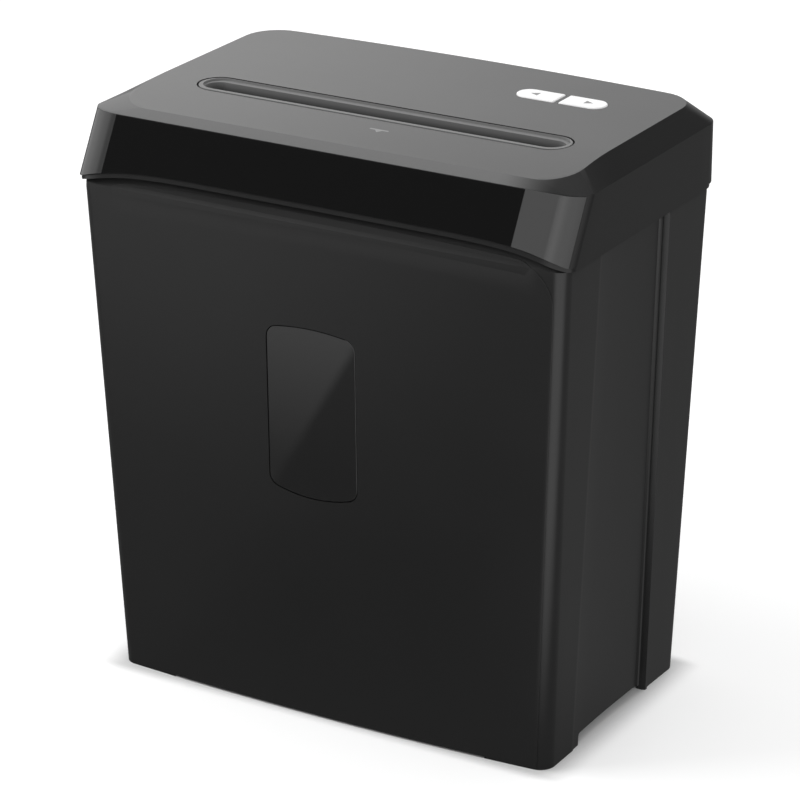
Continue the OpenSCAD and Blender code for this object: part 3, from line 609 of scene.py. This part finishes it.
# Moulded grain: a fine cellular skin over a slow unevenness
def buildGrain():
    group, given, out = nodeGroup(
        "mouldedGrain",
        [("Scale", "NodeSocketFloat", 900.0), ("Depth", "NodeSocketFloat", 0.3),
         ("Colour", "NodeSocketColor", (0.1, 0.1, 0.1, 1)), ("Variation", "NodeSocketFloat", 0.06),
         ("Roughness", "NodeSocketFloat", 0.5)],
        [("Colour", "NodeSocketColor"), ("Roughness", "NodeSocketFloat"), ("Height", "NodeSocketFloat")])
    link, values = group.links.new, given.outputs
    where = group.nodes.new("ShaderNodeTexCoord").outputs["Object"]
    skin = addNoise(group, where, Detail=3.0, Roughness=0.6)
    link(values["Scale"], skin.inputs["Scale"])
    fine = skin.outputs["Fac"]
    slow = addNoise(group, where, Scale=14.0, Detail=2.0).outputs["Fac"]
    blended = calculate(group, "ADD", calculate(group, "MULTIPLY", slow, 0.6),
                        calculate(group, "MULTIPLY", fine, 0.4))
    offset = calculate(group, "SUBTRACT", blended, 0.5)
    shade = calculate(group, "MULTIPLY_ADD", offset, values["Variation"], 1.0)
    polish = calculate(group, "MULTIPLY_ADD", offset, 0.3, 1.0)
    link(scaleColour(group, values["Colour"], shade), out.inputs["Colour"])
    link(calculate(group, "MULTIPLY", polish, values["Roughness"]), out.inputs["Roughness"])
    link(calculate(group, "MULTIPLY", fine, values["Depth"]), out.inputs["Height"])
    return group


# Fine dust that settles on faces that look up
def buildDust():
    group, given, out = nodeGroup(
        "settledDust",
        [("Colour", "NodeSocketColor", (0.1, 0.1, 0.1, 1)), ("Amount", "NodeSocketFloat", 0.05)],
        [("Colour", "NodeSocketColor")])
    where = group.nodes.new("ShaderNodeTexCoord")
    specks = addNoise(group, where.outputs["Object"], Scale=60.0, Detail=5.0, Roughness=0.75)
    up = splitAxes(group, "Normal")["Z"]
    facing = calculate(group, "MULTIPLY", up, specks.outputs["Fac"], use_clamp=True)
    share = calculate(group, "MULTIPLY", facing, given.outputs["Amount"], use_clamp=True)
    dusty = mixColours(group, share, given.outputs["Colour"], (0.55, 0.53, 0.5, 1))
    group.links.new(dusty, out.inputs["Colour"])
    return group


# Brushed or turned metal: streaks along one axis
def buildStreaks():
    group, given, out = nodeGroup(
        "toolMarks",
        [("Colour", "NodeSocketColor", (0.5, 0.5, 0.5, 1)), ("Along", "NodeSocketVector", (1, 1, 1)),
         ("Roughness", "NodeSocketFloat", 0.35)],
        [("Colour", "NodeSocketColor"), ("Roughness", "NodeSocketFloat"), ("Height", "NodeSocketFloat")])
    link, values = group.links.new, given.outputs
    where = group.nodes.new("ShaderNodeTexCoord").outputs["Object"]
    stretched = calculateVector(group, "MULTIPLY", where, values["Along"])
    marks = addNoise(group, stretched, Scale=1.0, Detail=4.0, Roughness=0.65).outputs["Fac"]
    shade = mapRange(group, marks, 0.0, 1.0, 0.8, 1.15)
    link(scaleColour(group, values["Colour"], shade), out.inputs["Colour"])
    link(calculate(group, "MULTIPLY_ADD", marks, 0.2, values["Roughness"]), out.inputs["Roughness"])
    link(marks, out.inputs["Height"])
    return group


grainGroup, dustGroup, streakGroup = buildGrain(), buildDust(), buildStreaks()


# Turns a level of 0 to 255, as seen on a screen, into a colour
def grey(level):
    share = level / 255
    value = share / 12.92 if share <= 0.04045 else ((share + 0.055) / 1.055) ** 2.4
    return (value, value, value, 1)


def tint(red, green, blue):
    return tuple(grey(level)[0] for level in (red, green, blue)) + (1,)


def startMaterial(name):
    made = bpy.data.materials.new(name)
    made.use_nodes = True
    return made, made.node_tree, made.node_tree.nodes["Principled BSDF"]


def addGroup(tree, group, **values):
    made = tree.nodes.new("ShaderNodeGroup")
    made.node_tree = group
    for key, value in values.items():
        made.inputs[key].default_value = value
    return made


def addRelief(tree, shader, height, strength, distance):
    relief = addNode(tree, "ShaderNodeBump", Strength=strength, Distance=distance)
    tree.links.new(height, relief.inputs["Height"])
    tree.links.new(relief.outputs["Normal"], shader.inputs["Normal"])


def plastic(name, colour, roughness=0.5, scale=1100.0, depth=0.3, variation=0.08, dust=0.0, specular=0.5,
            bump=0.25):
    made, tree, shader = startMaterial(name)
    grain = addGroup(tree, grainGroup, Scale=scale, Depth=depth, Colour=colour, Variation=variation,
                     Roughness=roughness)
    source = grain.outputs["Colour"]
    if dust:
        film = addGroup(tree, dustGroup, Amount=dust)
        tree.links.new(source, film.inputs["Colour"])
        source = film.outputs["Colour"]
    tree.links.new(source, shader.inputs["Base Color"])
    tree.links.new(grain.outputs["Roughness"], shader.inputs["Roughness"])
    addRelief(tree, shader, grain.outputs["Height"], bump, 0.0002)
    shader.inputs["Specular IOR Level"].default_value = specular
    return made


def metal(name, colour, roughness=0.35, along=(900, 900, 900), bump=0.15):
    made, tree, shader = startMaterial(name)
    marks = addGroup(tree, streakGroup, Colour=colour, Along=along, Roughness=roughness)
    tree.links.new(marks.outputs["Colour"], shader.inputs["Base Color"])
    tree.links.new(marks.outputs["Roughness"], shader.inputs["Roughness"])
    addRelief(tree, shader, marks.outputs["Height"], bump, 0.0001)
    shader.inputs["Metallic"].default_value = 1.0
    return made


# Mixes a second colour in along one object axis, between two places in metres
def fadeAlong(made, axis, start, end, colour):
    tree = made.node_tree
    base = tree.nodes["Principled BSDF"].inputs["Base Color"]
    first = base.links[0].from_socket
    share = mapRange(tree, splitAxes(tree)[axis], start, end, interpolation_type="SMOOTHSTEP")
    tree.links.new(mixColours(tree, share, first, colour), base)


deckPlastic = plastic("deckPlastic", grey(121), 0.62, 1300.0, 0.5, 0.10, 0.03, specular=0.3, bump=0.35)
# painted shade: the deck's colour darkens from its left end to its right end, standing in for light that
# falls off across it
fadeAlong(deckPlastic, "X", -0.19, 0.19, grey(103))
bandPlastic = plastic("bandPlastic", grey(33), 0.32, 1500.0, 0.2, 0.06, specular=0.24, bump=0.15)
shoulderPlastic = plastic("shoulderPlastic", grey(20), 0.3, 1500.0, 0.2, 0.06, specular=0.3, bump=0.1)
chamferPlastic = plastic("chamferPlastic", grey(112), 0.55, 1300.0, 0.4, 0.10, specular=0.3)
# painted shade: the front chamfer darkens to near black towards its right end only
fadeAlong(chamferPlastic, "X", 0.104, 0.143, grey(20))
glossBlack = plastic("glossBlack", grey(20), 0.02, 300.0, 0.02, 0.04, specular=0.45, bump=0.0)
# painted reflections on the gloss black fascia: a pale band from near its right corner, fading darker round
# the right end, and a pale band at its left end
fadeAlong(glossBlack, "X", 0.1236, 0.1241, grey(80))
fadeAlong(glossBlack, "X", 0.143, 0.153, grey(46))
fadeAlong(glossBlack, "X", -0.1418, -0.1423, grey(60))
binPlastic = plastic("binPlastic", grey(35), 0.34, 1300.0, 0.3, 0.08, specular=0.34, bump=0.2)
innerPlastic = plastic("innerPlastic", grey(44), 0.55, 1000.0, 0.4, 0.08)
throatPlastic = plastic("throatPlastic", grey(126), 0.55, 1300.0, 0.4, 0.08, specular=0.3)
# painted shade: the throat darkens from deck grey at the rim to near black lower down in the slot
fadeAlong(throatPlastic, "Z", 0.3538, 0.3446, grey(16))
whitePlastic = plastic("whitePlastic", grey(255), 0.38, 1500.0, 0.2, 0.02, specular=0.6)
printGrey = plastic("printGrey", grey(148), 0.6, 1800.0, 0.2, 0.05)
smokedWindow = plastic("smokedWindow", grey(38), 0.03, 250.0, 0.02, 0.05, specular=0.55, bump=0.0)
sealRubber = plastic("sealRubber", grey(20), 0.75, 700.0, 0.6, 0.10)
gearNylon = plastic("gearNylon", tint(214, 208, 190), 0.45, 900.0, 0.3, 0.06)
boardGreen = plastic("boardGreen", tint(26, 92, 50), 0.4, 500.0, 0.2, 0.15)
tealParts = plastic("tealParts", tint(48, 66, 110), 0.4, 700.0, 0.2, 0.12)
plateSteel = metal("plateSteel", tint(176, 178, 180), 0.32, (60, 900, 900))
brightSteel = metal("brightSteel", tint(205, 206, 208), 0.22, (900, 120, 120))
cutterSteel = metal("cutterSteel", tint(120, 122, 126), 0.34, (1400, 300, 300))
sinteredBrass = metal("sinteredBrass", tint(186, 148, 88), 0.4, (700, 700, 700), 0.3)
copperWinding = metal("copperWinding", tint(190, 112, 66), 0.36, (2600, 160, 160), 0.5)
print("materials ready")

# Pieces of the head

headShell = buildHead()
keyReach = buttons["holeReach"]
keyHoles = [prism("keyHole", keyOutline(side, buttons["fit"], buttons["gap"], head["deck"] - keyReach),
                  (0, 0, 2 * keyReach)) for side in (-1, 1)]
recess = fasciaSolid("fasciaRecess", fascia["seat"], fascia["recessReach"],
                     fascia["thick"] + fascia["behind"])
cutAway(headShell, *keyHoles, recess)
roundEdges(headShell, head["edge"], 3, 25)
smoothPiece(headShell, 32)
finishPiece(headShell, "head", deckPlastic, "deck_plastic", "head_cover")
deckSkin, bandSkin, shoulderSkin, chamferSkin = range(4)
skinLimits = {"deckUp": 0.5, "deckDrop": 0.35, "slopeUp": 0.25, "slopeDrop": 0.5, "frontTurn": 0.12}
for skin in (bandPlastic, shoulderPlastic, chamferPlastic):
    headShell.data.materials.append(skin)
for face in headShell.data.polygons:  # the deck ends at its rounded outline; shoulders and sides are darker
    y, z = face.center.y / mm, face.center.z / mm
    face.material_index = bandSkin
    if face.normal.z > skinLimits["deckUp"] and z > deckHeight(y) - skinLimits["deckDrop"]:
        face.material_index = deckSkin
    elif face.normal.z > skinLimits["slopeUp"] and z > head["band"] - skinLimits["slopeDrop"]:
        front = face.normal.y < -skinLimits["frontTurn"]
        face.material_index = chamferSkin if front else shoulderSkin

fasciaStrip = fasciaSolid("frontFascia", 0, 0, fascia["thick"])
roundEdges(fasciaStrip, fascia["edge"], 2, 50)
smoothPiece(fasciaStrip)
finishPiece(fasciaStrip, "head", glossBlack, "gloss_black", "front_fascia")
print("head ready")


def buildThroat():
    def at(length, width, z, home=0.0, back=0.0):  # home runs from the rim's place to the place of the gap
        x = throat["rimX"] * (1 - home)
        y = throat["rimY"] + (throat["y"] - throat["rimY"]) * home + back
        return atHeight(stadiumOutline(length, width, y, x), z)

    top, gapTop, taper = throat["rimTop"], throat["gapTop"], throat["neckTaper"]
    low = top - throat["rimThick"]
    length, width, back = throat["mouthLength"], throat["mouthWidth"], throat["mouthBack"]
    gapLength, gapWidth = throat["gapLength"], throat["gapWidth"]
    neckLength, neckWidth = throat["neckLength"], throat["neckWidth"]
    rings = [at(throat["rimLength"], throat["rimWidth"], level) for level in (low, top)]
    rings.append(at(length, width, top, 0, back))
    for k in range(1, throat["rows"] + 1):  # the mouth rolls in and narrows in a soft curve
        share = (k / throat["rows"]) ** throat["pace"]
        ease = share ** throat["ease"]
        rings.append(at(length + (gapLength - length) * ease, width + (gapWidth - width) * ease,
                        top - (top - gapTop) * share, ease, back * (1 - ease)))
    rings += [at(gapLength, gapWidth, throat["foot"], 1),
              at(gapLength + throat["footWall"], gapWidth + throat["footWall"], throat["foot"], 1),
              at(neckLength - taper, neckWidth - taper, gapTop, 1),
              at(neckLength, neckWidth, throat["neckTop"]), at(neckLength, neckWidth, low)]
    return loft("throatFunnel", rings + [rings[0]], closed=True)


throatFunnel = buildThroat()
roundEdges(throatFunnel, throat["edge"], 2, 50)
smoothPiece(throatFunnel)
finishPiece(throatFunnel, "head", throatPlastic, "inner_plastic", "throat_insert")

# Keys


# A thin mark printed on a surface, sunk a little so that it holds
def printMark(name, points, thick, body):
    mark = prism(name, points, (0, 0, thick))
    roundEdges(mark, 0.03, 1, 60)
    smoothPiece(mark)
    finishPiece(mark, body, printGrey, "base_plastic")


def buildKey(side, name, body, node):
    top, foot = head["deck"] + buttons["proud"], buttons["foot"]
    points = keyOutline(side, 0, buttons["gap"] + 2 * buttons["fit"], foot)
    piece = prism(name, points, (0, 0, top - foot))
    roundEdges(piece, buttons["edge"], 4, 60)
    smoothPiece(piece)
    finishPiece(piece, body, whitePlastic, "white_plastic", node)
    # the arrow points away from the middle
    x, y, z = buttons["x"] + side * buttons["markPlace"], buttons["y"], top - buttons["markSink"]
    tip = side * buttons["markSize"] / 2
    printMark(name + "Mark", [(x + tip, y, z), (x - tip, y + tip, z), (x - tip, y - tip, z)],
              buttons["markThick"], body)


buildKey(-1, "reverseKey", "reverse_key", "reverse_button")
buildKey(1, "forwardKey", "forward_key", "forward_button")

# small feed mark in front of the slot
arrow = {"x": 16, "y": -48, "half": 6, "bar": 0.65, "tip": 2.3, "tipLength": 2.8, "sink": 0.2, "thick": 0.23}
half, bar, tip = arrow["half"], arrow["bar"], arrow["tip"]
points = [(-half, bar), (-half, -bar), (-tip, -bar), (0, -bar - arrow["tipLength"]), (tip, -bar),
          (half, -bar), (half, bar)]
points = [(arrow["x"] + x, arrow["y"] + y) for x, y in points]
printMark("feedArrow", [(x, y, deckHeight(y) - arrow["sink"]) for x, y in points], arrow["thick"], "head")
print("keys ready")

# Pieces of the bin

binShell = buildBin()
footCut = box("footCut", (-basket["footCutHalf"], basket["footCutFront"], -5),
              (basket["footCutHalf"], basket["footCutRear"], basket["footCut"]))
roundEdges(footCut, basket["footCutEdge"], 3, 60)
edgeCut = box("edgeCut", (-basket["edgeHalf"], -140, -5), (basket["edgeHalf"], 140, basket["edgeRaise"]))
paneReach = window["holeReach"]
windowHole = prism("windowHole", windowOutline(0, -paneReach), (0, 2 * paneReach, 0))
leanOnFront(windowHole)
clearSelection()
panelHole = windowHole.copy()
panelHole.data = windowHole.data.copy()
bpy.context.collection.objects.link(panelHole)
cutAway(binShell, footCut, edgeCut, windowHole)
roundEdges(binShell, basket["edge"], 2, 40)
smoothPiece(binShell, 30)
finishPiece(binShell, "bin", binPlastic, "bin_plastic", "bin_shell")

frontPanel = buildPanel()
cutAway(frontPanel, panelHole)
smoothPiece(frontPanel, 35)
finishPiece(frontPanel, "bin", binPlastic, "bin_plastic")

windowPane = prism("windowPane", windowOutline(-window["fit"], window["sunk"]), (0, window["depth"], 0))
roundEdges(windowPane, window["edge"], 3, 60)
leanOnFront(windowPane)
smoothPiece(windowPane)
finishPiece(windowPane, "bin", smokedWindow, "smoked_window", "bin_window")
print("bin ready")

# Finishes of the CAD nodes

finishes = {
    "bin_plastic": binPlastic, "smoked_window": smokedWindow, "seal_rubber": sealRubber,
    "deck_plastic": deckPlastic, "gloss_black": glossBlack, "base_plastic": innerPlastic,
    "white_plastic": whitePlastic, "inner_plastic": throatPlastic, "board_green": boardGreen,
    "plate_steel": plateSteel, "bright_steel": brightSteel, "cutter_steel": cutterSteel,
    "sintered_brass": sinteredBrass, "copper_winding": copperWinding, "gear_nylon": gearNylon,
}
for name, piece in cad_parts.items():
    for slot in piece.material_slots:
        given = slot.material.name if slot.material else ""
        for key, finish in finishes.items():
            if given.startswith(key):
                slot.material = finish
                break
        else:
            slot.material = tealParts if "component" in name else innerPlastic
print("finishes ready")

# Camera, light and floor

view = {"target": (0, 2.4, 170.2), "distance": 2191, "azimuth": 30.24, "elevation": 21.85, "lens": 167.6}
azimuth, elevation = math.radians(view["azimuth"]), math.radians(view["elevation"])
back = Vector((math.sin(azimuth) * math.cos(elevation), -math.cos(azimuth) * math.cos(elevation),
               math.sin(elevation)))
clearSelection()
bpy.ops.object.camera_add(location=(Vector(view["target"]) + back * view["distance"]) * mm,
                          rotation=(math.pi / 2 - elevation, 0, azimuth))
camera = bpy.context.object
camera.data.lens = view["lens"]
camera.data.sensor_width = 36
camera.data.clip_end = 50
bpy.context.scene.camera = camera

lamps = [
    {"name": "keyLamp", "place": (-0.85, -0.45, 1.25), "aim": (0, 0, 0.3), "size": 0.9, "power": 10.5},
    {"name": "fillLamp", "place": (1.9, -0.8, 1.1), "aim": (0, 0, 0.2), "size": 1.6, "power": 8},
    {"name": "rearLamp", "place": (0.2, 2.0, 2.0), "aim": (0, 0, 0.25), "size": 1.6, "power": 16},
]
for lamp in lamps:
    clearSelection()
    direction = Vector(lamp["aim"]) - Vector(lamp["place"])
    bpy.ops.object.light_add(type="AREA", location=lamp["place"],
                             rotation=direction.to_track_quat("-Z", "Y").to_euler())
    light = bpy.context.object
    light.name = lamp["name"]
    light.data.shape = "SQUARE"
    light.data.size = lamp["size"]
    light.data.energy = lamp["power"]
    light.visible_camera = False
    light.visible_glossy = False



def startTree(holder, endKind):
    holder.use_nodes = True
    holder.node_tree.nodes.clear()
    return holder.node_tree, holder.node_tree.nodes.new(endKind)


# One kind of ray sees the second shader, and all the others see the first
def switchShader(tree, rays, usual, special):
    made = tree.nodes.new("ShaderNodeMixShader")
    tree.links.new(tree.nodes.new("ShaderNodeLightPath").outputs[rays], made.inputs["Fac"])
    tree.links.new(usual, made.inputs[1])
    tree.links.new(special, made.inputs[2])
    return made.outputs[0]


# Places on the floor are in metres
# the glow fades out within a few centimetres of the foot box, which paints a shadow round it
glowFloor = {"foot": (0.142, 0.084, 1.0), "shares": (46.0, 90.0, 0.0), "strength": 0.39}
# painted reflections: patches of floor glow that only glossy rays see
leftPaintedReflection = {"slant": -0.311, "edge": -0.0895, "soft": 0.004, "pale": 0.8, "dark": 0.14,
            "fade": (-0.62, -0.38, 1.0, 0.16)}
rearPaintedReflection = (-0.25, 0.05, 0.0, 0.23)
rightPaintedReflection = {"across": (0.09, 0.2, 0.0, 1.8), "away": (-0.1, -0.28)}


# The camera sees a floor whose glow fades out round the foot: a painted contact shadow that darkens the
# floor there, on top of the real shadow
def cameraFloor(tree, matt):
    where = tree.nodes.new("ShaderNodeTexCoord").outputs["Object"]
    past = calculateVector(tree, "SUBTRACT", calculateVector(tree, "ABSOLUTE", where), glowFloor["foot"])
    outside = calculateVector(tree, "MAXIMUM", past, (0.0, 0.0, 0.0))
    away = addNode(tree, "ShaderNodeVectorMath", operation="LENGTH")
    tree.links.new(calculateVector(tree, "MULTIPLY", outside, glowFloor["shares"]), away.inputs[0])
    glow = addNode(tree, "ShaderNodeEmission", Color=(1, 1, 1, 1))
    tree.links.new(mapRange(tree, away.outputs["Value"], 0.0, 1.0, 0.0, glowFloor["strength"],
                            interpolation_type="SMOOTHSTEP"), glow.inputs["Strength"])
    return feed(tree, tree.nodes.new("ShaderNodeAddShader"), matt, glow.outputs[0])


# Glossy rays see painted reflections on the floor, pale patches that glow only in gloss: left of a slanting
# edge, behind, and in front of the right corner
def glossyFloor(tree):
    axes = splitAxes(tree)
    slant = calculate(tree, "MULTIPLY_ADD", axes["Y"], leftPaintedReflection["slant"], axes["X"])
    edge = mapRange(tree, slant, leftPaintedReflection["edge"] + leftPaintedReflection["soft"], leftPaintedReflection["edge"] - leftPaintedReflection["soft"],
                    leftPaintedReflection["dark"], leftPaintedReflection["pale"])
    left = calculate(tree, "MULTIPLY", edge, mapRange(tree, axes["Y"], *leftPaintedReflection["fade"]))
    right = calculate(tree, "MULTIPLY", mapRange(tree, axes["X"], *rightPaintedReflection["across"]),
                      mapRange(tree, axes["Y"], *rightPaintedReflection["away"]))
    leftOrRear = calculate(tree, "MAXIMUM", left, mapRange(tree, axes["Y"], *rearPaintedReflection))
    reflectionGlow = addNode(tree, "ShaderNodeEmission", Color=(1, 1, 1, 1))
    tree.links.new(calculate(tree, "MAXIMUM", leftOrRear, right), reflectionGlow.inputs["Strength"])
    return reflectionGlow.outputs[0]


clearSelection()
bpy.ops.mesh.primitive_grid_add(x_subdivisions=2, y_subdivisions=2, size=40, location=(0, 0, 0))
floor = nameLast("studioFloor")
floorMaterial = bpy.data.materials.new("studioFloor")
tree, end = startTree(floorMaterial, "ShaderNodeOutputMaterial")
matt = addNode(tree, "ShaderNodeBsdfDiffuse", Color=(0.86, 0.86, 0.86, 1)).outputs[0]
unseen = switchShader(tree, "Is Glossy Ray", matt, glossyFloor(tree))
tree.links.new(switchShader(tree, "Is Camera Ray", unseen, cameraFloor(tree, matt)), end.inputs["Surface"])
floor.data.materials.append(floorMaterial)

world = bpy.data.worlds.new("studio")
bpy.context.scene.world = world
tree, end = startTree(world, "ShaderNodeOutputWorld")
soft = addNode(tree, "ShaderNodeBackground", Color=(1, 1, 1, 1), Strength=0.52)
seen = addNode(tree, "ShaderNodeBackground", Color=(1, 1, 1, 1), Strength=1.0)
mirrored = addNode(tree, "ShaderNodeBackground", Strength=1.0)
# a ring of cards seen only in gloss, by direction: share of a full turn and brightness
stops = [(0.0, 0.15), (0.06, 0.9), (0.3, 1.6), (0.355, 0.9), (0.372, 0.06), (0.43, 0.05),
         (0.445, 0.9), (0.47, 1.7), (0.56, 1.7), (0.66, 1.4), (0.75, 0.8), (0.82, 0.3), (1.0, 0.15)]
axes = splitAxes(tree, "Generated")
direction = calculate(tree, "ARCTAN2", axes["X"], calculate(tree, "MULTIPLY", axes["Y"], -1.0))
cards = tree.nodes.new("ShaderNodeValToRGB")
tree.links.new(mapRange(tree, direction, -math.pi, math.pi), cards.inputs["Fac"])
ramp = cards.color_ramp
while len(ramp.elements) < len(stops):
    ramp.elements.new(0.5)
for element, (position, level) in zip(ramp.elements, stops):
    element.position = position
    element.color = (level, level, level, 1)
tree.links.new(cards.outputs["Color"], mirrored.inputs["Color"])
unseen = switchShader(tree, "Is Glossy Ray", soft.outputs[0], mirrored.outputs[0])
tree.links.new(switchShader(tree, "Is Camera Ray", unseen, seen.outputs[0]), end.inputs["Surface"])

bpy.context.scene.view_settings.view_transform = "Standard"
print("studio ready")
